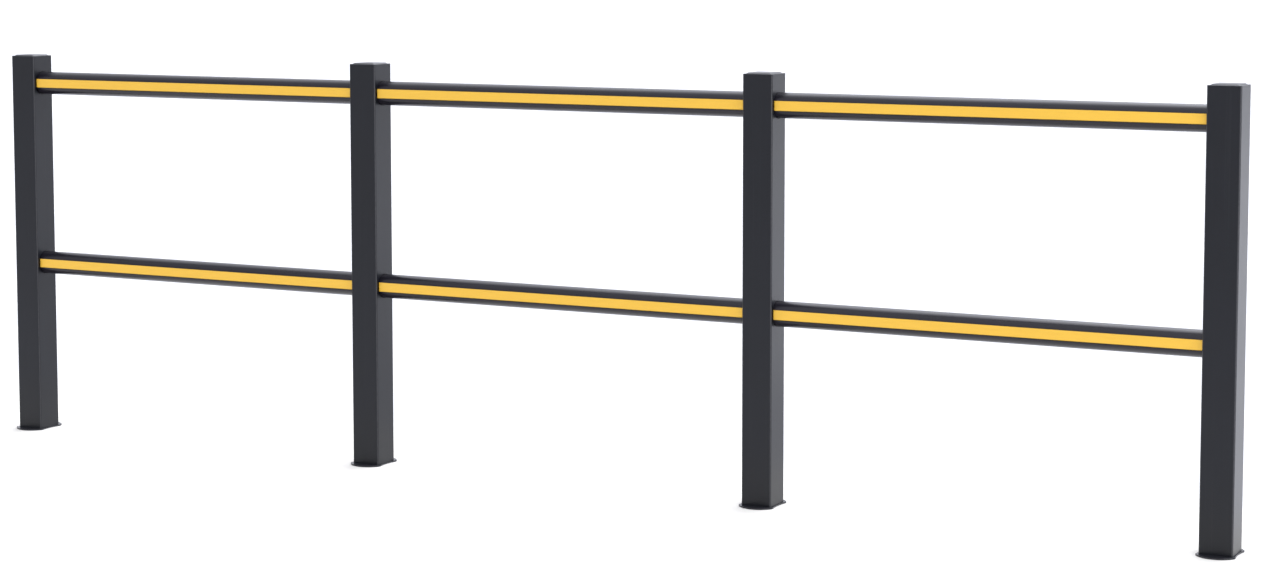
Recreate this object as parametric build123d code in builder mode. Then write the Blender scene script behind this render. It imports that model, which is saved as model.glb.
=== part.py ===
from build123d import *
import os
from math import sqrt

# Plastic pedestrian guardrail: square posts on bolted floor plates, joined by round rails with an inlaid strip.
# Sizes are in millimetres. X runs along the rails, Z is up and the strips face -Y.
# The origin is on the floor, under the middle of the run. Posts and bays are numbered from -X.

# Run and heights
bay_count = 3
bay_clear = 1098
overall_height = 1100
upper_rail_drop = 82
rail_spacing = 526

# Rails and their strips
rail_diameter = 65
strip_width = 25
strip_thickness = 3.5
strip_flare = 1.5
strip_setback = 0.4
strip_end_gap = 1
strip_edge = 0.4
groove_floor = 1.8

# Posts
post_wall = 5
post_corner = 5
bore_corner = 1.5
rail_side_room = 3.5

# Caps
cap_flange = 2
cap_rise = 3
cap_margin = 5.5
cap_bevel = 5
cap_step_corner = 3
cap_plateau_corner = 2
skirt_depth = 25
skirt_wall = 3
skirt_lead = 1.2

# Floor plates, and the feet that the posts drop over
plate_thickness = 4
plate_edge = 0.8
ear_reach = 7
ear_radius = 12
plate_bulge = 30
plate_waist = 5
anchor_hole = 9
nut_room = 8
spigot_wall = 3.2
spigot_height = 180
insert_web = 2.4
insert_height = 150
insert_lead = 1.5

# Post screws
screw_diameter = 8
screw_height = 70
screw_head = 16
screw_head_height = 4.5
screw_head_round = 3
screw_tip = 3
screw_socket = 5
screw_socket_depth = 2.5

# Joiners, end plugs and locking rods
plug_depth = 60
plug_lead = 2
rod_diameter = 12
rod_head = 20
rod_head_height = 4
rod_head_round = 1
rod_tail = 15
rod_tip = 2
flange_wall = 3.7
seat_depth = 3
seat_room = 2

# Clearances
slip_gap = 0.3
rail_hole_gap = 0.5
screw_gap = 0.3

# Sizes that follow
rail_radius = rail_diameter / 2
post_bore = rail_diameter + 2 * rail_side_room
post_side = post_bore + 2 * post_wall
post_pitch = bay_clear + post_side
post_places = [(i - bay_count / 2) * post_pitch for i in range(bay_count + 1)]
bay_places = [(i - (bay_count - 1) / 2) * post_pitch for i in range(bay_count)]
post_top = overall_height - cap_rise - cap_flange
upper_rail_height = overall_height - upper_rail_drop
rail_heights = {"upper": upper_rail_height, "lower": upper_rail_height - rail_spacing}

strip_face = sqrt(rail_radius**2 - (strip_width / 2) ** 2) - strip_setback
strip_back = strip_face - strip_thickness
rail_bore_radius = strip_back - groove_floor
joiner_flange = rod_diameter + 2 * (slip_gap + flange_wall)
rail_length = bay_clear + post_side - joiner_flange
strip_length = bay_clear - 2 * strip_end_gap

bolt_offset = post_bore / 2 - nut_room
notch_corner = bolt_offset - nut_room
insert_side = post_bore - 2 * slip_gap
insert_bore_radius = sqrt(2) * notch_corner - insert_web
spigot_radius = insert_bore_radius - slip_gap
screw_hole_radius = screw_diameter / 2 + screw_gap
rod_seat = rail_radius - seat_depth


def save(piece, name):
    piece.part.label = name
    export_step(piece.part, f"parts/{name}.step")


def across_rail(x, height, side=1):
    # A plane square to the rails, with its own x along +Y and its normal along X
    return Plane(origin=(x, 0, height), x_dir=(0, side, 0), z_dir=(side, 0, 0))


def rear_face(x, y, height):
    return Plane(origin=(x, y, height), x_dir=(-1, 0, 0), z_dir=(0, 1, 0))


# Hollow square post: round rail holes in the faces that look along the run, one screw hole at the back
def make_post(x, rail_sides):
    with BuildPart() as post:
        with BuildSketch(Plane((x, 0, plate_thickness))):
            RectangleRounded(post_side, post_side, post_corner)
            RectangleRounded(post_bore, post_bore, bore_corner, mode=Mode.SUBTRACT)
        extrude(amount=post_top - plate_thickness)
        for side in rail_sides:
            for height in rail_heights.values():
                with BuildSketch(across_rail(x, height, side)):
                    Circle(rail_radius + rail_hole_gap)
                extrude(amount=post_side / 2, mode=Mode.SUBTRACT)
        with Locations(rear_face(x, post_side / 2, screw_height)):
            Hole(screw_hole_radius, depth=post_side / 2)
    return post


# Push-in cap: a flange flush with the post, a low bevelled step set in from it and a square skirt below
def make_cap(x):
    step_side = post_side - 2 * cap_margin
    plateau_side = step_side - 2 * cap_bevel
    skirt_side = post_bore - 2 * slip_gap
    skirt_bore = skirt_side - 2 * skirt_wall
    with BuildPart() as cap:
        with BuildSketch(Plane((x, 0, post_top))):
            RectangleRounded(post_side, post_side, post_corner)
        extrude(amount=cap_flange)
        with BuildSketch(Plane((x, 0, post_top + cap_flange))):
            RectangleRounded(step_side, step_side, cap_step_corner)
        with BuildSketch(Plane((x, 0, overall_height))):
            RectangleRounded(plateau_side, plateau_side, cap_plateau_corner)
        loft(ruled=True)
        with BuildSketch(Plane((x, 0, post_top))):
            RectangleRounded(skirt_side, skirt_side, bore_corner)
            Rectangle(skirt_bore, skirt_bore, mode=Mode.SUBTRACT)
        extrude(amount=-skirt_depth)
        skirt_end = cap.faces().sort_by(Axis.Z)[0]
        chamfer(skirt_end.outer_wire().edges(), skirt_lead)
    return cap


# Floor plate: bowed front and back, waisted sides, ears in line with the post's front and back,
# and four anchor holes that the post hides
def make_plate(x):
    ear_x = post_side / 2 + ear_reach
    ear_y = post_side / 2
    with BuildPart() as plate:
        with BuildSketch(Plane((x, 0, 0))) as outline:
            with BuildLine():
                ThreePointArc((-ear_x, -ear_y), (0, -ear_y - plate_bulge), (ear_x, -ear_y))
                ThreePointArc((ear_x, -ear_y), (ear_x - plate_waist, 0), (ear_x, ear_y))
                ThreePointArc((ear_x, ear_y), (0, ear_y + plate_bulge), (-ear_x, ear_y))
                ThreePointArc((-ear_x, ear_y), (-ear_x + plate_waist, 0), (-ear_x, -ear_y))
            make_face()
            fillet(outline.vertices(), ear_radius)
        extrude(amount=plate_thickness)
        top_face = plate.faces().sort_by(Axis.Z)[-1]
        fillet(top_face.outer_wire().edges(), plate_edge)
        with Locations(Plane((x, 0, plate_thickness))):
            with GridLocations(2 * bolt_offset, 2 * bolt_offset, 2, 2):
                Hole(anchor_hole / 2, depth=plate_thickness)
    return plate


# Round steel spigot that stands on the plate, between the anchors
def make_spigot(x):
    with BuildPart() as spigot:
        with BuildSketch(Plane((x, 0, plate_thickness))):
            Circle(spigot_radius)
            Circle(spigot_radius - spigot_wall, mode=Mode.SUBTRACT)
        extrude(amount=spigot_height)
        with Locations(rear_face(x, spigot_radius, screw_height)):
            Hole(screw_hole_radius, depth=spigot_radius)
    return spigot


# Cross-shaped insert that fills the room between spigot and post and leaves the corners to the anchors
def make_insert(x):
    with BuildPart() as insert:
        with BuildSketch(Plane((x, 0, plate_thickness))):
            Rectangle(insert_side, insert_side)
            with GridLocations(insert_side, insert_side, 2, 2):
                Rectangle(insert_side - 2 * notch_corner, insert_side - 2 * notch_corner, mode=Mode.SUBTRACT)
            Circle(insert_bore_radius, mode=Mode.SUBTRACT)
        extrude(amount=insert_height)
        arm_ends = insert.edges().filter_by(lambda edge: edge.geom_type == GeomType.LINE)
        arm_tops = arm_ends.group_by(Axis.Z)[-1].filter_by(
            lambda edge: max(abs(edge.center().X - x), abs(edge.center().Y)) > insert_side / 2 - slip_gap
        )
        chamfer(arm_tops, insert_lead)
        with Locations(rear_face(x, insert_side / 2, screw_height)):
            Hole(screw_hole_radius, depth=insert_side / 2)
    return insert


# Round-headed socket screw at the back, through the post and the insert into the spigot
def make_screw(x):
    shank_length = post_side / 2 - spigot_radius + spigot_wall + screw_tip
    with BuildPart() as screw:
        with BuildSketch(rear_face(x, post_side / 2, screw_height)):
            Circle(screw_head / 2)
        extrude(amount=screw_head_height)
        fillet(screw.edges().sort_by(Axis.Y)[-1], screw_head_round)
        with BuildSketch(rear_face(x, post_side / 2, screw_height)):
            Circle(screw_diameter / 2)
        extrude(amount=-shank_length)
        with BuildSketch(rear_face(x, post_side / 2 + screw_head_height, screw_height)):
            RegularPolygon(screw_socket / 2, 6, major_radius=False)
        extrude(amount=-screw_socket_depth, mode=Mode.SUBTRACT)
    return screw


# Round rail with a dovetail groove along its front, from the joiner in one post to the joiner in the next
def make_rail(x, height):
    face_half = strip_width / 2 + slip_gap
    floor_half = face_half + strip_flare
    with BuildPart() as rail:
        with BuildSketch(across_rail(x - rail_length / 2, height)):
            Circle(rail_radius)
            Circle(rail_bore_radius, mode=Mode.SUBTRACT)
            with BuildLine():
                Polyline(
                    (-rail_radius, face_half),
                    (-strip_face, face_half),
                    (-strip_back, floor_half),
                    (-strip_back, -floor_half),
                    (-strip_face, -face_half),
                    (-rail_radius, -face_half),
                    close=True,
                )
            make_face(mode=Mode.SUBTRACT)
        extrude(amount=rail_length)
    return rail


# Flat strip with dovetail edges, let into the rail between the post faces
def make_strip(x, height):
    face_half = strip_width / 2
    back_half = face_half + strip_flare
    with BuildPart() as strip:
        with BuildSketch(across_rail(x - strip_length / 2, height)):
            with BuildLine():
                Polyline(
                    (-strip_face, face_half),
                    (-strip_back, back_half),
                    (-strip_back, -back_half),
                    (-strip_face, -face_half),
                    close=True,
                )
            make_face()
        extrude(amount=strip_length)
        front_edges = strip.edges().filter_by(Axis.X).group_by(Axis.Y)[0]
        fillet(front_edges, strip_edge)
    return strip


# Moulded core on the post's axis: a flange between the rail ends, a plug into each rail, a hole for the rod
def make_joiner(x, height, rail_sides):
    with BuildPart() as joiner:
        with BuildSketch(across_rail(x - joiner_flange / 2, height)):
            Circle(rail_radius)
        extrude(amount=joiner_flange)
        for side in rail_sides:
            with BuildSketch(across_rail(x + side * joiner_flange / 2, height, side)):
                Circle(rail_bore_radius - slip_gap)
            extrude(amount=plug_depth)
            plug_end = joiner.faces().sort_by(Axis.X)[-1 if side > 0 else 0]
            chamfer(plug_end.edges(), plug_lead)
        with Locations(Plane((x, 0, height + rail_radius))):
            CounterBoreHole(
                rod_diameter / 2 + slip_gap, rod_head / 2 + seat_room, seat_depth, depth=rail_diameter
            )
    return joiner


# Steel rod that drops through both joiners of a post and hangs by its head
def make_rod(x):
    seat = Plane((x, 0, upper_rail_height + rod_seat))
    with BuildPart() as rod:
        with BuildSketch(seat):
            Circle(rod_head / 2)
        extrude(amount=rod_head_height)
        fillet(rod.edges().sort_by(Axis.Z)[-1], rod_head_round)
        with BuildSketch(seat):
            Circle(rod_diameter / 2)
        extrude(amount=-(rod_seat + rail_spacing + rail_radius + rod_tail))
        chamfer(rod.edges().sort_by(Axis.Z)[0], rod_tip)
    return rod


os.makedirs("parts", exist_ok=True)

for number, x in enumerate(post_places, start=1):
    rail_sides = [side for side in (-1, 1) if abs(x + side * post_pitch / 2) < bay_count * post_pitch / 2]
    save(make_post(x, rail_sides), f"post_{number}")
    save(make_cap(x), f"post_cap_{number}")
    save(make_plate(x), f"base_plate_{number}")
    save(make_spigot(x), f"foot_spigot_{number}")
    save(make_insert(x), f"foot_insert_{number}")
    save(make_screw(x), f"post_screw_{number}")
    save(make_rod(x), f"lock_rod_{number}")
    core = "rail_joiner" if len(rail_sides) == 2 else "rail_plug"
    for level, height in rail_heights.items():
        save(make_joiner(x, height, rail_sides), f"{level}_{core}_{number}")

for number, x in enumerate(bay_places, start=1):
    for level, height in rail_heights.items():
        save(make_rail(x, height), f"{level}_rail_{number}")
        save(make_strip(x, height), f"{level}_strip_{number}")
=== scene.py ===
import math

import bmesh
import bpy
from mathutils import Matrix, Vector


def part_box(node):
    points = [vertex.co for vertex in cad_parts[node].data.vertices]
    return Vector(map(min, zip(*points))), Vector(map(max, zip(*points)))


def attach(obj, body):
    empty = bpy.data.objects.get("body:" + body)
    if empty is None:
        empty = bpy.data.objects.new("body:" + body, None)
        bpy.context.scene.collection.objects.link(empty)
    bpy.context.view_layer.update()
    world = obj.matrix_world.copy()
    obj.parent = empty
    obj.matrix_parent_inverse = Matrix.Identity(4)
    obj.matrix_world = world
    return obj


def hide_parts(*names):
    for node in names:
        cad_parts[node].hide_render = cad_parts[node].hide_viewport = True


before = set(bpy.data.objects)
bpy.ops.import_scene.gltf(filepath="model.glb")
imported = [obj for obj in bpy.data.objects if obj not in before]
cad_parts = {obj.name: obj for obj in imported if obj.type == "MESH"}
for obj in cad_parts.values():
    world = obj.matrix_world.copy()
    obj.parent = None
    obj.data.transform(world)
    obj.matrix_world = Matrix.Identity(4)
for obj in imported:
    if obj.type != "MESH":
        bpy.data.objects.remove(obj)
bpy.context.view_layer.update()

scene = bpy.context.scene
scene.view_settings.view_transform = "Standard"
mm = 0.001
postCount = 4
bayCount = 3
levels = ("upper", "lower")


# Shader helpers
class Wire:
    # a socket that takes Python's operators, one Math node for each
    def __init__(self, finish, socket):
        self.finish = finish
        self.socket = socket

    def math(self, operation, first, second):
        return self.finish.node("Math", {"operation": operation}, {0: first, 1: second})

    def __add__(self, other):
        return self.math("ADD", self, other)

    def __radd__(self, other):
        return self.math("ADD", other, self)

    def __sub__(self, other):
        return self.math("SUBTRACT", self, other)

    def __rsub__(self, other):
        return self.math("SUBTRACT", other, self)

    def __mul__(self, other):
        return self.math("MULTIPLY", self, other)

    def __rmul__(self, other):
        return self.math("MULTIPLY", other, self)

    def between(self, low, high):
        # 0 below low, 1 above high, smooth in between
        sockets = {"Value": self, "From Min": low, "From Max": high}
        return self.finish.node("MapRange", {"interpolation_type": "SMOOTHSTEP"}, sockets)


class Finish:
    # a node tree of a material or of the world, and the shader that it feeds
    def __init__(self, owner, shader):
        owner.use_nodes = True
        self.owner = owner
        self.tree = owner.node_tree
        self.shader = self.tree.nodes[shader]

    def node(self, kind, settings=None, sockets=None, output=0):
        made = self.tree.nodes.new("ShaderNode" + kind)
        for name, value in (settings or {}).items():
            setattr(made, name, value)
        for name, value in (sockets or {}).items():
            self.feed(made.inputs[name], value)
        return Wire(self, made.outputs[output])

    def feed(self, socket, value):
        if isinstance(value, Wire):
            self.tree.links.new(value.socket, socket)
        else:
            socket.default_value = value

    def set(self, sockets):
        for name, value in sockets.items():
            self.feed(self.shader.inputs[name], value)

    def place(self, space="Object"):
        return self.node("TexCoord", output=space)

    def axis(self, vector, letter):
        return self.node("SeparateXYZ", None, {0: vector}, output=letter)

    def stretch(self, vector, factors):
        return self.node("VectorMath", {"operation": "MULTIPLY"}, {0: vector, 1: factors})

    def noise(self, vector, scale, detail=2.0):
        return self.node("TexNoise", None, {"Vector": vector, "Scale": scale, "Detail": detail})

    def mix(self, factor, first, second):
        # either colour can be a wire or three numbers
        ends = [end if isinstance(end, Wire) else (*end, 1) for end in (first, second)]
        return self.node("Mix", {"data_type": "RGBA"}, {0: factor, 6: ends[0], 7: ends[1]}, output=2)

    def edges(self, low, high):
        # where a boxy piece turns from one face to the next, no part of its normal is near 1
        parts = self.node("VectorMath", {"operation": "ABSOLUTE"}, {0: self.place("Normal")})
        flatness = self.axis(parts, "X")
        for letter in "YZ":
            flatness = flatness.math("MAXIMUM", flatness, self.axis(parts, letter))
        return (1 - flatness).between(low, high)

    def bump(self, height, distance):
        self.set({"Normal": self.node("Bump", None, {"Height": height, "Distance": distance})})


def newFinish(name):
    return Finish(bpy.data.materials.new(name), "Principled BSDF")


def shade(colour, factor):
    return tuple(factor * part for part in colour)


# Mesh helpers
edgeRules = {"easeAngle": math.radians(50), "sharpAngle": math.radians(35), "flatWeight": 100}


def roundPath(corners, radii, steps):
    # a closed run of 2-D corners, with an arc at each corner that has a radius
    path = []
    count = len(corners)
    for i, radius in enumerate(radii):
        here = Vector(corners[i])
        if radius == 0:
            path.append(here)
            continue
        toLast = (Vector(corners[i - 1]) - here).normalized()
        toNext = (Vector(corners[(i + 1) % count]) - here).normalized()
        half = toLast.angle(toNext) / 2
        middle = here + (toLast + toNext).normalized() * radius / math.sin(half)
        start = here + toLast * radius / math.tan(half) - middle
        end = here + toNext * radius / math.tan(half) - middle
        turn = -start.angle_signed(end)
        for step in range(steps + 1):
            path.append(middle + Matrix.Rotation(turn * step / steps, 2) @ start)
    return path


def squareRing(half, corner, z, steps):
    points = []
    for quarter in range(4):
        middle = Matrix.Rotation(math.radians(90 * quarter), 2) @ Vector((half - corner, half - corner))
        for step in range(steps + 1):
            angle = math.radians(90 * (quarter + step / steps))
            points.append((middle.x + corner * math.cos(angle), middle.y + corner * math.sin(angle), z))
    return points


def circleRing(radius, z, steps):
    angles = [2 * math.pi * step / steps for step in range(steps)]
    return [(radius * math.cos(a), radius * math.sin(a), z) for a in angles]


def ringMesh(rings, endless):
    # quads from ring to ring, then flat ends, or back to the first ring for a hollow piece
    bm = bmesh.new()
    loops = [[bm.verts.new(point) for point in ring] for ring in rings]
    count = len(loops[0])
    pairs = list(zip(loops, loops[1:]))
    if endless:
        pairs.append((loops[-1], loops[0]))
    for lower, upper in pairs:
        for i in range(count):
            j = (i + 1) % count
            bm.faces.new((lower[i], lower[j], upper[j], upper[i]))
    if not endless:
        bm.faces.new(loops[0])
        bm.faces.new(loops[-1])
    bmesh.ops.recalc_face_normals(bm, faces=bm.faces)
    return bm


def barMesh(runs, start, end):
    # closed runs of points in Y and Z, drawn out along X; a second run is a bore
    bm = bmesh.new()
    rims = ([], [])
    for run in runs:
        loops = [[bm.verts.new((x, *point)) for point in run] for x in (start, end)]
        for i in range(len(run)):
            j = (i + 1) % len(run)
            bm.faces.new((loops[0][i], loops[0][j], loops[1][j], loops[1][i]))
            for rim, loop in zip(rims, loops):
                rim.append(bm.edges.get((loop[i], loop[j])))
    for rim in rims:
        bmesh.ops.triangle_fill(bm, use_beauty=True, edges=rim)
    bmesh.ops.recalc_face_normals(bm, faces=bm.faces)
    return bm


def makeObject(name, bm, place=(0, 0, 0)):
    mesh = bpy.data.meshes.new(name)
    bmesh.ops.translate(bm, vec=place, verts=bm.verts)
    bm.to_mesh(mesh)
    bm.free()
    made = bpy.data.objects.new(name, mesh)
    scene.collection.objects.link(made)
    return made


def makeDrill(place, along, radius, depth, steps):
    # a round or many-sided cutter that goes in by depth on both sides of its place
    bm = bmesh.new()
    bmesh.ops.create_cone(bm, cap_ends=True, segments=steps, radius1=radius, radius2=radius, depth=2 * depth)
    turn = Vector((0, 0, 1)).rotation_difference(Vector(along)).to_matrix()
    bmesh.ops.rotate(bm, cent=(0, 0, 0), matrix=turn, verts=bm.verts)
    return makeObject("drill", bm, place)


def applyModifiers(piece):
    graph = bpy.context.evaluated_depsgraph_get()
    mesh = bpy.data.meshes.new_from_object(piece.evaluated_get(graph))
    piece.modifiers.clear()
    piece.data = mesh


def drillHoles(piece, drills):
    for drill in drills:
        hole = piece.modifiers.new("hole", "BOOLEAN")
        hole.operation = "DIFFERENCE"
        hole.solver = "EXACT"
        hole.object = drill
    applyModifiers(piece)
    for drill in drills:
        bpy.data.objects.remove(drill)


def easeEdges(piece, width, steps):
    ease = piece.modifiers.new("ease", "BEVEL")
    ease.width = width
    ease.segments = steps
    ease.limit_method = "ANGLE"
    ease.angle_limit = edgeRules["easeAngle"]
    applyModifiers(piece)


def finishPiece(piece, finish, node, body="guardrail"):
    piece.data.shade_smooth()
    piece.data.set_sharp_from_angle(angle=edgeRules["sharpAngle"])
    # the wide faces stay flat and only the rounds between them turn
    even = piece.modifiers.new("even", "WEIGHTED_NORMAL")
    even.keep_sharp = True
    even.weight = edgeRules["flatWeight"]
    applyModifiers(piece)
    piece.data.materials.clear()
    piece.data.materials.append(finish.owner)
    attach(piece, body)
    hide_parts(node)


def middleOf(node):
    low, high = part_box(node)
    return (low + high) / 2


# Finishes
fineDetail = 3.0
middleTone = 0.5

drawn = {"patchShare": 0.6, "dark": 0.6, "light": 1.4, "breakDetail": 4.0, "breakLow": 0.3, "breakHigh": 0.6,
         "scuffStretch": 0.3, "scuffLow": 0.6, "scuffHigh": 0.72, "edgeLow": 0.03, "edgeHigh": 0.2,
         "wearAndHighlightLeast": 0.65}
# each look's edge band is paler than the plastic: partly wear, partly a painted highlight on the rounded
# edges
postLook = {"colour": (0.0048, 0.0056, 0.0088), "lines": (700.0, 700.0, 5.0), "patches": 8.0, "pores": 1800.0,
            "gloss": 0.30, "glossSpread": 0.10, "specular": 0.35, "relief": 0.006 * mm,
            "breaks": 130.0, "wearAndHighlight": 0.6, "scuff": 0.05, "wearAndHighlightColour": (0.055, 0.056, 0.061), "wearAndHighlightGloss": 0.08}
railLook = {"colour": (0.0060, 0.0048, 0.0090), "lines": (5.0, 900.0, 900.0), "patches": 7.0, "pores": 1800.0,
            "gloss": 0.28, "glossSpread": 0.14, "specular": 0.39, "relief": 0.010 * mm,
            "breaks": 40.0, "wearAndHighlight": 0.0, "scuff": 0.12, "wearAndHighlightColour": (0.022, 0.023, 0.026), "wearAndHighlightGloss": 0.08}
capLook = {"colour": (0.0052, 0.0060, 0.0100), "lines": (60.0, 60.0, 60.0), "patches": 20.0, "pores": 1500.0,
           "gloss": 0.30, "glossSpread": 0.14, "specular": 0.39, "relief": 0.02 * mm,
           "breaks": 90.0, "wearAndHighlight": 0.7, "scuff": 0.15, "wearAndHighlightColour": (0.024, 0.025, 0.028), "wearAndHighlightGloss": 0.1}
coreLook = {"colour": (0.0100, 0.0100, 0.0105), "lines": (90.0, 90.0, 90.0), "patches": 25.0, "pores": 900.0,
            "gloss": 0.45, "glossSpread": 0.2, "specular": 0.5, "relief": 0.04 * mm,
            "breaks": 120.0, "wearAndHighlight": 0.5, "scuff": 0.2, "wearAndHighlightColour": (0.03, 0.03, 0.031), "wearAndHighlightGloss": 0.1}


def drawnPlastic(name, look):
    # plastic dyed right through: draw lines along the run, fine pores, patches where hands have been, a few
    # long scuffs and a paler, duller band along the edges, partly wear and partly a painted highlight,
    # fainter here and there
    finish = newFinish(name)
    place = finish.place()
    drawLines = finish.noise(finish.stretch(place, look["lines"]), 1.0)
    patches = finish.noise(place, look["patches"], fineDetail)
    pores = finish.noise(place, look["pores"])
    faint = finish.noise(place, look["breaks"], drawn["breakDetail"])
    faint = faint.between(drawn["breakLow"], drawn["breakHigh"])
    longLines = finish.stretch(place, shade(look["lines"], drawn["scuffStretch"]))
    scuffs = finish.noise(longLines, 1.0, fineDetail).between(drawn["scuffLow"], drawn["scuffHigh"])
    # paler band along the edges: partly wear, partly a painted highlight where the rounded corners catch
    # light
    wearAndHighlight = look["wearAndHighlight"] * finish.edges(drawn["edgeLow"], drawn["edgeHigh"])
    wearAndHighlight = wearAndHighlight * (drawn["wearAndHighlightLeast"] + (1 - drawn["wearAndHighlightLeast"]) * faint) + look["scuff"] * scuffs
    tone = drawn["patchShare"] * patches + (1 - drawn["patchShare"]) * drawLines
    dyed = finish.mix(tone, shade(look["colour"], drawn["dark"]), shade(look["colour"], drawn["light"]))
    rough = look["gloss"] + look["glossSpread"] * (tone - middleTone)
    finish.set({"Base Color": finish.mix(wearAndHighlight, dyed, look["wearAndHighlightColour"])})
    finish.set({"Roughness": rough + look["wearAndHighlightGloss"] * wearAndHighlight, "Specular IOR Level": look["specular"]})
    finish.bump(look["relief"] * (pores + drawLines), 1.0)
    return finish


stripLook = {"colour": (0.860, 0.505, 0.046), "lines": (3.0, 600.0, 600.0), "patches": 5.0, "pores": 2200.0,
             "patchShare": 0.5, "gloss": 0.36, "glossSpread": 0.12, "relief": 0.008 * mm, "fade": 0.93,
             "specks": 650.0, "speckLow": 0.58, "speckHigh": 0.72, "edgeLow": 0.05, "edgeHigh": 0.25,
             "grime": 0.22, "grimeColour": (0.42, 0.225, 0.03)}


def yellowPlastic(look):
    # the strip is drawn too, but opaque and satin, a little duller where it has weathered, with specks
    # of dirt that gather along its edges
    finish = newFinish("stripPlastic")
    place = finish.place()
    drawLines = finish.noise(finish.stretch(place, look["lines"]), 1.0)
    patches = finish.noise(place, look["patches"], fineDetail)
    pores = finish.noise(place, look["pores"])
    tone = look["patchShare"] * patches + (1 - look["patchShare"]) * drawLines
    specks = finish.noise(place, look["specks"], fineDetail).between(look["speckLow"], look["speckHigh"])
    grime = look["grime"] * (specks + finish.edges(look["edgeLow"], look["edgeHigh"]))
    dyed = finish.mix(tone, shade(look["colour"], look["fade"]), look["colour"])
    finish.set({"Base Color": finish.mix(grime, dyed, look["grimeColour"])})
    finish.set({"Roughness": look["gloss"] + look["glossSpread"] * (tone - middleTone)})
    finish.bump(look["relief"] * (pores + drawLines), 1.0)
    return finish


# the rim band's colour is paler than the coat: partly chipped wear, partly a painted highlight on the rim
plateLook = {"colour": (0.0150, 0.0157, 0.0200), "dark": 0.7, "light": 1.3, "peel": 450.0, "patches": 35.0,
             "gloss": 0.24, "glossSpread": 0.10, "specular": 0.32, "relief": 0.03 * mm,
             "rimLow": 0.2, "rimHigh": 0.5, "flatLow": 0.85, "flatHigh": 0.98,
             "rimWearAndHighlight": 0.5, "rimWearAndHighlightColour": (0.060, 0.061, 0.066), "chips": 160.0, "chipLow": 0.35,
             "chipHigh": 0.6}


def powderCoat(look):
    # baked powder: the orange peel of the coat, a slow drift of its gloss and a paler band along the rim,
    # where the outline's rounding looks half upwards: partly chipped wear, partly a painted highlight
    finish = newFinish("plateCoat")
    place = finish.place()
    peel = finish.noise(place, look["peel"], 1.0)
    patches = finish.noise(place, look["patches"], fineDetail)
    upward = finish.axis(finish.place("Normal"), "Z")
    rim = upward.between(look["rimLow"], look["rimHigh"])
    rim = rim * (1 - upward.between(look["flatLow"], look["flatHigh"]))
    chips = finish.noise(place, look["chips"], fineDetail).between(look["chipLow"], look["chipHigh"])
    # paler rim where the rounding faces half upwards: a painted highlight, broken into chips like wear
    rimWearAndHighlight = look["rimWearAndHighlight"] * rim * chips
    coat = finish.mix(patches, shade(look["colour"], look["dark"]), shade(look["colour"], look["light"]))
    finish.set({"Base Color": finish.mix(rimWearAndHighlight, coat, look["rimWearAndHighlightColour"])})
    rough = look["gloss"] + look["glossSpread"] * (patches - middleTone)
    finish.set({"Roughness": rough, "Specular IOR Level": look["specular"]})
    finish.bump(look["relief"] * peel, 1.0)
    return finish


grains = {"dark": 0.8, "light": 1.15}
zincLook = {"colour": (0.52, 0.54, 0.56), "spangle": 140.0, "gloss": 0.34, "glossSpread": 0.22,
            "relief": 0.02 * mm}
rodLook = {"colour": (0.58, 0.58, 0.56), "spangle": 420.0, "gloss": 0.26, "glossSpread": 0.16,
           "relief": 0.01 * mm}
screwLook = {"colour": (0.34, 0.335, 0.325), "spangle": 1500.0, "gloss": 0.3, "glossSpread": 0.10,
             "relief": 0.01 * mm}


def platedSteel(name, look):
    # zinc crystals: every grain has its own tone and gloss
    finish = newFinish(name)
    sockets = {"Vector": finish.place(), "Scale": look["spangle"]}
    tone = finish.axis(finish.node("TexVoronoi", None, sockets, output="Color"), "X")
    tones = [shade(look["colour"], grains[end]) for end in ("dark", "light")]
    finish.set({"Base Color": finish.mix(tone, *tones)})
    finish.set({"Roughness": look["gloss"] + look["glossSpread"] * (tone - middleTone), "Metallic": 1.0})
    finish.bump(look["relief"] * tone, 1.0)
    return finish


postPlastic = drawnPlastic("postPlastic", postLook)
railPlastic = drawnPlastic("railPlastic", railLook)
capPlastic = drawnPlastic("capPlastic", capLook)
corePlastic = drawnPlastic("corePlastic", coreLook)
stripPlastic = yellowPlastic(stripLook)
plateCoat = powderCoat(plateLook)
spigotZinc = platedSteel("spigotZinc", zincLook)
rodZinc = platedSteel("rodZinc", rodLook)
screwSteel = platedSteel("screwSteel", screwLook)
print("finishes made")


# Posts: a hollow square tube with a round hole for each rail and one for the screw
post = {"corner": 5 * mm, "wall": 5 * mm, "boreCorner": 1.5 * mm, "rimRound": 0.5 * mm, "roundSteps": 3,
        "cornerSteps": 10, "holeRoom": 0.5 * mm, "holeSteps": 96, "holeEdge": 0.6 * mm,
        "screwHole": 4.3 * mm, "screwHoleSteps": 40}


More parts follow.
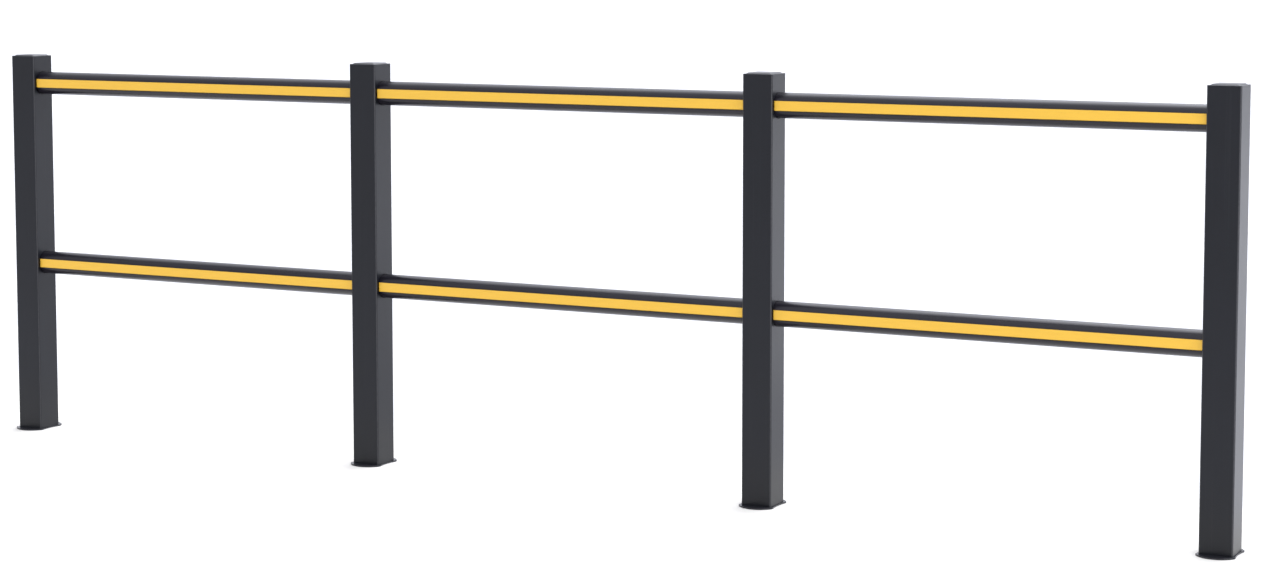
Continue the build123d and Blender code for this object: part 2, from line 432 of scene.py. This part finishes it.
def makePost(number):
    node = f"post_{number}"
    low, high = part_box(node)
    half = (high.y - low.y) / 2
    inner = half - post["wall"]
    corners = [(half, low.z), (half, high.z), (inner, high.z), (inner, low.z)]
    rings = []
    for reach, z in roundPath(corners, [post["rimRound"]] * 4, post["roundSteps"]):
        corner = max(post["corner"] - (half - reach), post["boreCorner"])
        rings.append(squareRing(reach, corner, z, post["cornerSteps"]))
    middle = middleOf(node).x
    shell = makeObject(f"postShell_{number}", ringMesh(rings, endless=True), (middle, 0, 0))
    drills = []
    for bay, side in ((number - 1, -1), (number, 1)):
        for level in levels:
            if 1 <= bay <= bayCount:
                railLow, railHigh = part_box(f"{level}_rail_{bay}")
                place = (middle + side * half, 0, (railLow.z + railHigh.z) / 2)
                radius = (railHigh.z - railLow.z) / 2 + post["holeRoom"]
                drills.append(makeDrill(place, (1, 0, 0), radius, half / 2, post["holeSteps"]))
    screwPlace = (middle, half, middleOf(f"post_screw_{number}").z)
    drills.append(makeDrill(screwPlace, (0, 1, 0), post["screwHole"], half / 2, post["screwHoleSteps"]))
    drillHoles(shell, drills)
    easeEdges(shell, post["holeEdge"], post["roundSteps"])
    finishPiece(shell, postPlastic, node)


for number in range(1, postCount + 1):
    makePost(number)
print("posts made")


# Caps: a flange on the post, a low step with sloping sides set in from its edge, and a hollow skirt
# that slips inside
cap = {"flange": 2 * mm, "rise": 3 * mm, "margin": 5.5 * mm, "bevel": 5 * mm, "corner": 5 * mm,
       "stepCorner": 3 * mm, "plateauCorner": 2 * mm, "skirtDepth": 25 * mm, "skirtWall": 3 * mm,
       "skirtInset": 5.3 * mm, "skirtLead": 1.2 * mm, "edge": 0.5 * mm, "stepFoot": 0.4 * mm,
       "plateauEdge": 0.9 * mm, "skirtEdge": 0.3 * mm, "skirtCorner": 1.5 * mm, "edgeSteps": 4,
       "cornerSteps": 10}


def makeCap(number):
    node = f"post_cap_{number}"
    low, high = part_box(node)
    half = (high.y - low.y) / 2
    seat = high.z - cap["rise"] - cap["flange"]
    skirt = half - cap["skirtInset"]
    bore = skirt - cap["skirtWall"]
    foot = seat - cap["skirtDepth"]
    step = half - cap["margin"]
    shelf = seat + cap["flange"]
    corners = [(bore, seat), (bore, foot), (skirt - cap["skirtLead"], foot), (skirt, foot + cap["skirtLead"]),
               (skirt, seat), (half, seat), (half, shelf), (step, shelf), (step - cap["bevel"], high.z),
               (0, high.z)]
    edge, skirtEdge = cap["edge"], cap["skirtEdge"]
    radii = [0, skirtEdge, skirtEdge, 0, 0, edge, edge, cap["stepFoot"], cap["plateauEdge"], 0]
    rings = []
    for reach, z in roundPath(corners, radii, cap["edgeSteps"])[:-1]:
        if z > seat + cap["flange"] / 2:
            onShelf = min((half - reach) / cap["margin"], 1)
            onSlope = min(max(step - reach, 0) / cap["bevel"], 1)
            corner = cap["corner"] + onShelf * (cap["stepCorner"] - cap["corner"])
            corner += onSlope * (cap["plateauCorner"] - cap["stepCorner"])
        elif reach > skirt + skirtEdge:
            corner = cap["corner"] - (half - reach)
        else:
            corner = max(cap["skirtCorner"] - (skirt - reach), skirtEdge)
        rings.append(squareRing(reach, corner, z, cap["cornerSteps"]))
    piece = makeObject(f"capCover_{number}", ringMesh(rings, endless=False), (middleOf(node).x, 0, 0))
    finishPiece(piece, capPlastic, node, f"cap_{number}")


for number in range(1, postCount + 1):
    makeCap(number)
print("caps made")


# Floor plates: bowed front and back, waisted ends, rounded ears and a rounded upper edge
plate = {"earX": 48 * mm, "earY": 41 * mm, "earRound": 12 * mm, "waist": 5 * mm, "edge": 0.8 * mm,
         "underEdge": 0.3 * mm, "edgeSteps": 4, "arcSteps": 24, "earSteps": 12, "holeOffset": 28 * mm,
         "holeRadius": 4.5 * mm, "holeSteps": 40, "holeEdge": 0.3 * mm, "holeEdgeSteps": 2}


def arcMiddle(end, peak):
    # an arc through its peak and a symmetric pair of ends: where its middle lies along the peak's own
    # direction, and its radius
    across, along = end
    sag = peak - along
    radius = (across ** 2 + sag ** 2) / (2 * sag)
    return peak - radius, abs(radius)


def arcPoints(middle, start, end, steps):
    # from start towards end round middle, the shorter way, without end itself
    turn = -(start - middle).angle_signed(end - middle)
    return [middle + Matrix.Rotation(turn * step / steps, 2) @ (start - middle) for step in range(steps)]


def plateOutline(reach):
    # one quarter from the middle of the front to the middle of the side, then its mirror images
    earX, earY, earRound = plate["earX"], plate["earY"], plate["earRound"]
    bowOffset, bowRadius = arcMiddle((earX, earY), reach)
    sideOffset, sideRadius = arcMiddle((earY, earX), earX - plate["waist"])
    bow = Vector((0, -bowOffset))
    side = Vector((sideOffset, 0))
    # the ear's round lies inside the bow and outside the hollow of the side
    near, far = bowRadius - earRound, sideRadius + earRound
    gap = side - bow
    along = (near ** 2 - far ** 2 + gap.length_squared) / (2 * gap.length)
    off = math.sqrt(near ** 2 - along ** 2)
    unit = gap.normalized()
    ear = bow + unit * along + Vector((unit.y, -unit.x)) * off
    onBow = bow + (ear - bow).normalized() * bowRadius
    onSide = side + (ear - side).normalized() * sideRadius
    front = Vector((0, -reach))
    flank = Vector((earX - plate["waist"], 0))
    quarter = arcPoints(bow, front, onBow, plate["arcSteps"])
    quarter += arcPoints(ear, onBow, onSide, plate["earSteps"])
    quarter += arcPoints(side, onSide, flank, plate["arcSteps"])
    half = quarter + [flank] + [Vector((p.x, -p.y)) for p in reversed(quarter)]
    return half + [Vector((-p.x, p.y)) for p in reversed(half[1:-1])]


def insetRing(outline, inset, z):
    ring = []
    for i, here in enumerate(outline):
        along = outline[(i + 1) % len(outline)] - outline[i - 1]
        inward = Vector((-along.y, along.x)).normalized()
        ring.append((*(here + inward * inset), z))
    return ring


def makePlate(number):
    node = f"base_plate_{number}"
    low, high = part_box(node)
    outline = plateOutline(high.y)
    inside = plate["earRound"] / 2
    corners = [(inside, low.z), (0, low.z), (0, high.z), (inside, high.z)]
    path = roundPath(corners, [0, plate["underEdge"], plate["edge"], 0], plate["edgeSteps"])[1:-1]
    rings = [insetRing(outline, inset, z) for inset, z in path]
    middle = middleOf(node)
    piece = makeObject(f"floorPlate_{number}", ringMesh(rings, endless=False), (middle.x, 0, 0))
    drills = []
    for sideX in (-1, 1):
        for sideY in (-1, 1):
            place = middle + plate["holeOffset"] * Vector((sideX, sideY, 0))
            depth = high.z - low.z
            drills.append(makeDrill(place, (0, 0, 1), plate["holeRadius"], depth, plate["holeSteps"]))
    drillHoles(piece, drills)
    easeEdges(piece, plate["holeEdge"], plate["holeEdgeSteps"])
    finishPiece(piece, plateCoat, node)


for number in range(1, postCount + 1):
    makePlate(number)
print("floor plates made")


# Screws at the back of each foot: a domed head with a hexagon socket
screw = {"headRound": 3 * mm, "headHeight": 4.5 * mm, "shank": 4 * mm, "socketAcross": 5 * mm,
         "socketDepth": 2.5 * mm, "socketSides": 6, "edge": 0.2 * mm, "edgeSteps": 2, "tip": 0.8 * mm,
         "steps": 48, "roundSteps": 6}


def makeScrew(number):
    node = f"post_screw_{number}"
    low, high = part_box(node)
    length = high.y - low.y
    radius = (high.z - low.z) / 2
    seat = length - screw["headHeight"]
    shank, tip = screw["shank"], screw["tip"]
    corners = [(0, 0), (shank - tip, 0), (shank, tip), (shank, seat), (radius, seat), (radius, length),
               (0, length)]
    radii = [0, 0, 0, 0, screw["edge"], screw["headRound"], 0]
    path = roundPath(corners, radii, screw["roundSteps"])[1:-1]
    bm = ringMesh([circleRing(reach, z, screw["steps"]) for reach, z in path], endless=False)
    bmesh.ops.rotate(bm, cent=(0, 0, 0), matrix=Matrix.Rotation(math.radians(-90), 3, "X"), verts=bm.verts)
    middle = middleOf(node)
    piece = makeObject(f"backScrew_{number}", bm, (middle.x, low.y, middle.z))
    sides = screw["socketSides"]
    socketRadius = screw["socketAcross"] / 2 / math.cos(math.pi / sides)
    socketPlace = (middle.x, high.y, middle.z)
    socket = makeDrill(socketPlace, (0, 1, 0), socketRadius, screw["socketDepth"], sides)
    drillHoles(piece, [socket])
    easeEdges(piece, screw["edge"], screw["edgeSteps"])
    finishPiece(piece, screwSteel, node)


for number in range(1, postCount + 1):
    makeScrew(number)
print("screws made")


# Rails: a round tube whose front holds a dovetail groove
rail = {"face": 29.6 * mm, "back": 26.1 * mm, "mouth": 12.8 * mm, "floor": 14.3 * mm, "bore": 24.3 * mm,
        "lipRound": 0.35 * mm, "lipSteps": 3, "steps": 160, "boreSteps": 96}


def makeRail(level, bay):
    node = f"{level}_rail_{bay}"
    low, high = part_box(node)
    radius = (high.z - low.z) / 2
    axis = (high.z + low.z) / 2
    mouth, floor, face, back = rail["mouth"], rail["floor"], rail["face"], rail["back"]
    lip = math.sqrt(radius ** 2 - mouth ** 2)
    lipAngle = math.atan2(mouth, -lip)
    # from the upper lip over the top, the back and the underside to the lower lip
    angles = [lipAngle * (1 - 2 * step / rail["steps"]) for step in range(1, rail["steps"])]
    outline = [Vector((radius * math.cos(a), radius * math.sin(a))) for a in angles]
    groove = [outline[-1], (-lip, -mouth), (-face, -mouth), (-back, -floor), (-back, floor), (-face, mouth),
              (-lip, mouth), outline[0]]
    radii = [0, rail["lipRound"], 0, 0, 0, 0, rail["lipRound"], 0]
    outline += roundPath(groove, radii, rail["lipSteps"])[1:-1]
    bore = [point[:2] for point in circleRing(rail["bore"], 0, rail["boreSteps"])]
    runs = [[(y, z + axis) for y, z in run] for run in (outline, bore)]
    piece = makeObject(f"{level}Tube_{bay}", barMesh(runs, low.x, high.x))
    finishPiece(piece, railPlastic, node)


# Strips: flat in front, flared at the back, let into the groove with a fine seam below
strip = {"halfFace": 12.5 * mm, "halfBack": 14.0 * mm, "seam": 0.9 * mm, "edge": 0.4 * mm, "edgeSteps": 4,
         "endEdge": 0.25 * mm, "endSteps": 2}


def makeStrip(level, bay):
    node = f"{level}_strip_{bay}"
    low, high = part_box(node)
    axis = (high.z + low.z) / 2
    halfFace, halfBack, seam = strip["halfFace"], strip["halfBack"], strip["seam"]
    corners = [(low.y, halfFace), (high.y, halfBack), (high.y, seam - halfBack), (low.y, seam - halfFace)]
    outline = roundPath(corners, [strip["edge"], 0, 0, strip["edge"]], strip["edgeSteps"])
    piece = makeObject(f"{level}Strip_{bay}", barMesh([[(y, z + axis) for y, z in outline]], low.x, high.x))
    easeEdges(piece, strip["endEdge"], strip["endSteps"])
    finishPiece(piece, stripPlastic, node)


for level in levels:
    for bay in range(1, bayCount + 1):
        makeRail(level, bay)
        makeStrip(level, bay)
print("rails and strips made")


# The pieces inside keep their solids and get their own finishes
insideFinishes = {"foot_spigot": spigotZinc, "foot_insert": corePlastic, "lock_rod": rodZinc,
                  "rail_joiner": corePlastic, "rail_plug": corePlastic}
for name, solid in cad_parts.items():
    for words, finish in insideFinishes.items():
        if words in name:
            solid.data.materials.clear()
            solid.data.materials.append(finish.owner)
print("inner pieces finished")


# Stage: a pale floor with painted shade far in front, a painted pool of light at the right and warm painted
# light around the feet that pales their shadows, in a white studio that is brightest overhead behind the
# rails and at the right
studio = {"floorSize": 80.0, "floorCells": 8, "floorRough": 0.9, "driftScale": 0.5, "driftLight": 1.02,
          "floorNear": (0.66, 0.66, 0.66), "floorFrontPaintedShade": (0.55, 0.55, 0.55), "floorRightPaintedLight": (0.90, 0.90, 0.90),
          "floorFeetPaintedLight": (0.80, 0.785, 0.735), "frontFar": -3.4, "frontNear": -1.2, "rightSlant": 0.26,
          "rightNear": 1.8, "rightFar": 2.2, "farNear": 7.0, "farFar": 15.0, "farFade": 0.6, "feetNear": 0.2,
          "feetFar": 0.7, "tint": (0.965, 0.982, 1.065), "front": 0.72, "back": 1.12, "wallFront": -0.2,
          "wallBack": 0.6,
          "top": 0.85, "topLow": 0.3, "topHigh": 0.6, "topLeft": -0.75, "topRight": -0.15,
          "overhead": 2.45, "overheadStart": 0.19, "overheadBlur": 0.08, "overheadLow": 0.45,
          "overheadHigh": 0.65, "sideGlow": 0.3, "sideLow": 0.74, "sideHigh": 0.9, "sideTop": 0.35,
          "boxPlace": (10.0, -3.6, 1.6), "boxTurns": (90, 0, 90), "boxWide": 5.6, "boxHigh": 3.2,
          "boxPower": 160.0}

floorMesh = bmesh.new()
cells = studio["floorCells"]
bmesh.ops.create_grid(floorMesh, x_segments=cells, y_segments=cells, size=studio["floorSize"] / 2)
floor = makeObject("studioFloor", floorMesh)
floorFinish = newFinish("floorPale")
floorPlace = floorFinish.place()
floorDepth = floorFinish.axis(floorPlace, "Y")
# painted shade on the floor far in front, darker than the rest, that the posts' front faces reflect
frontShadeMask = 1 - floorDepth.between(studio["frontFar"], studio["frontNear"])
# a painted pool of light on the floor at the right, fainter far behind, that the posts' right faces reflect
rightLightMask = floorFinish.axis(floorPlace, "X") + studio["rightSlant"] * floorDepth
rightLightMask = rightLightMask.between(studio["rightNear"], studio["rightFar"])
rightLightMask = rightLightMask * (1 - studio["farFade"] * floorDepth.between(studio["farNear"], studio["farFar"]))
drift = floorFinish.noise(floorPlace, studio["driftScale"])
pale = floorFinish.mix(drift, studio["floorNear"], shade(studio["floorNear"], studio["driftLight"]))
pale = floorFinish.mix(frontShadeMask, pale, studio["floorFrontPaintedShade"])
# a painted pool of warm light around the feet, brighter than the floor, that pales the shadows there
feetLightMask = 1 - (floorDepth * floorDepth).between(studio["feetNear"] ** 2, studio["feetFar"] ** 2)
pale = floorFinish.mix(feetLightMask, pale, studio["floorFeetPaintedLight"])
pale = floorFinish.mix(rightLightMask, pale, studio["floorRightPaintedLight"])
floorFinish.set({"Base Color": pale, "Roughness": studio["floorRough"], "Specular IOR Level": 0.0})
floor.data.materials.append(floorFinish.owner)

scene.world = bpy.data.worlds.new("studioWhite")
sky = Finish(scene.world, "Background")
towards = sky.place("Generated")
rightward = sky.axis(towards, "X")
backward = sky.axis(towards, "Y")
upward = sky.axis(towards, "Z")
wallRise = studio["back"] - studio["front"]
wall = studio["front"] + wallRise * backward.between(studio["wallFront"], studio["wallBack"])
fromRight = rightward.between(studio["topLeft"], studio["topRight"])
top = upward.between(studio["topLow"], studio["topHigh"]) * fromRight
pastTop = backward - studio["overheadStart"] * upward
panel = pastTop.between(-studio["overheadBlur"], studio["overheadBlur"])
panel = panel * upward.between(studio["overheadLow"], studio["overheadHigh"])
panel = panel * fromRight
side = rightward.between(studio["sideLow"], studio["sideHigh"]) * (1 - upward.between(0, studio["sideTop"]))
sky.set({"Color": (*studio["tint"], 1)})
light = wall + studio["top"] * top + studio["overhead"] * panel + studio["sideGlow"] * side
sky.set({"Strength": light})
print("stage set")

# a softbox at the right draws the light line down the near corner of each post
softbox = bpy.data.lights.new("softbox", "AREA")
softbox.shape = "RECTANGLE"
softbox.size = studio["boxWide"]
softbox.size_y = studio["boxHigh"]
softbox.energy = studio["boxPower"]
softboxObject = bpy.data.objects.new("softbox", softbox)
softboxObject.location = studio["boxPlace"]
softboxObject.rotation_euler = [math.radians(turn) for turn in studio["boxTurns"]]
scene.collection.objects.link(softboxObject)
print("softbox set")

# Camera at the photograph's viewpoint
photoView = {"place": (3.42035, -6.04831, 1.42036), "turns": (84.874, 0.029, 27.858), "lens": 75.41,
             "sensor": 36.0, "shiftDown": -0.0873, "farthest": 200.0}
lens = bpy.data.cameras.new("photoCamera")
lens.sensor_width = photoView["sensor"]
lens.lens = photoView["lens"]
lens.shift_y = photoView["shiftDown"]
lens.clip_end = photoView["farthest"]
camera = bpy.data.objects.new("photoCamera", lens)
camera.location = photoView["place"]
camera.rotation_euler = [math.radians(turn) for turn in photoView["turns"]]
scene.collection.objects.link(camera)
scene.camera = camera
print("camera set")
